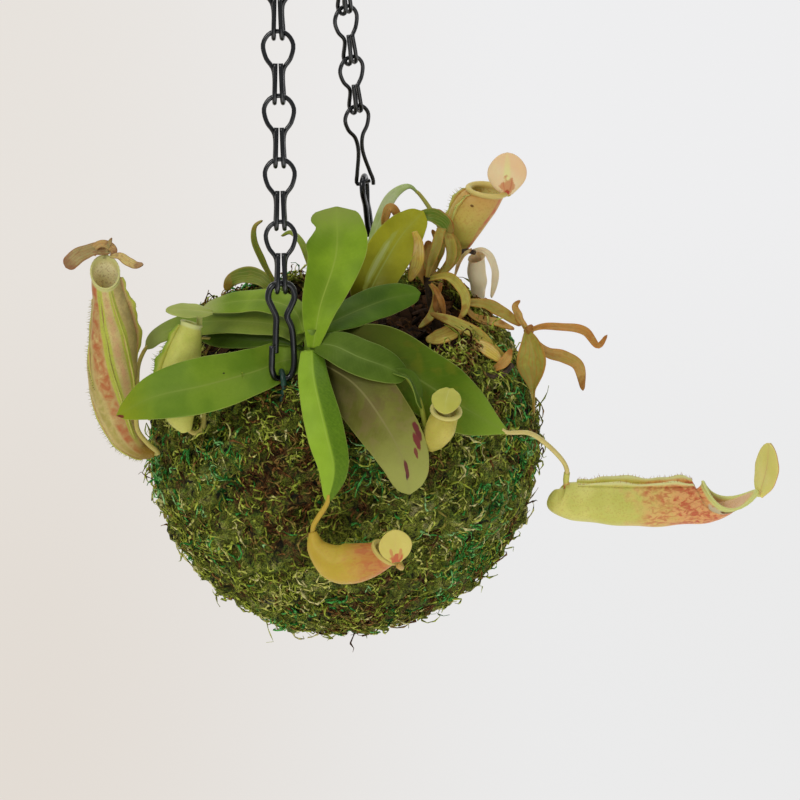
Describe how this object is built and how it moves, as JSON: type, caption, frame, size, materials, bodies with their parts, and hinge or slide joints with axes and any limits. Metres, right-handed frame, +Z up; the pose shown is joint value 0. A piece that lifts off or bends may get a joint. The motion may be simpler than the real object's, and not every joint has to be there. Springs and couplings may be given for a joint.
{
  "type": "hanging pitcher plant",
  "caption": "Pitcher plant with broad leaves and hanging pitchers, planted in a ball of moss that hangs from two wire chains and a hook.",
  "frame": {"origin": "the inner side of the hook's upper bend, at its top, where the plant hangs", "axes": "+Z up along the line the plant hangs on, the front of the plant faces -Y, +X to its right in the picture"},
  "size_m": [0.2186, 0.1477, 0.4426],
  "materials": {
    "hook": "satin black",
    "chain": "gloss black",
    "sling": "green plastic coat",
    "soil": "damp bark",
    "moss": "curled moss",
    "stem": "satin",
    "leaf": "satin",
    "pale_leaf": "satin",
    "olive_leaf": "satin",
    "pitcher": "satin",
    "amber_pitcher": "satin",
    "withered": "dry",
    "dead_pitcher": "dry"
  },
  "bodies": {
    "root": {"top_hook": "hook", "chain_front_01": "chain", "chain_front_02": "chain", "chain_front_03": "chain", "chain_front_04": "chain", "chain_front_05": "chain", "chain_front_06": "chain", "chain_front_07": "chain", "chain_front_08": "chain", "chain_front_09": "chain", "chain_front_10": "chain", "chain_front_11": "chain", "chain_front_12": "chain", "chain_front_13": "chain", "chain_front_14": "chain", "chain_back_01": "chain", "chain_back_02": "chain", "chain_back_03": "chain", "chain_back_04": "chain", "chain_back_05": "chain", "chain_back_06": "chain", "chain_back_07": "chain", "chain_back_08": "chain", "chain_back_09": "chain", "chain_back_10": "chain", "chain_back_11": "chain", "chain_back_12": "chain", "chain_back_13": "chain", "chain_back_14": "chain", "clip_front": "chain", "clip_back": "chain", "sling_wire": "sling", "soil_ball": "soil", "moss_wrap": "moss", "stem_main": "stem", "stem_back": "stem", "leaf_left": "leaf", "leaf_right_high": "leaf", "leaf_right_low": "leaf", "leaf_right_big": "leaf", "leaf_left_high": "leaf", "leaf_left_mid": "leaf", "leaf_left_low": "leaf", "leaf_back_arched": "leaf", "back_shoot": "leaf", "leaf_up": "pale_leaf", "leaf_front": "pale_leaf", "leaf_back_glossy": "pale_leaf", "leaf_brown": "olive_leaf", "pitcher_small_right": "pitcher", "pitcher_right": "pitcher", "pitcher_back": "pitcher", "pitcher_small_left": "pitcher", "pitcher_left": "pitcher", "pitcher_front": "amber_pitcher", "side_shoot": "withered", "star_offshoot": "withered", "dead_pitcher": "dead_pitcher"}
  },
  "joints": []
}
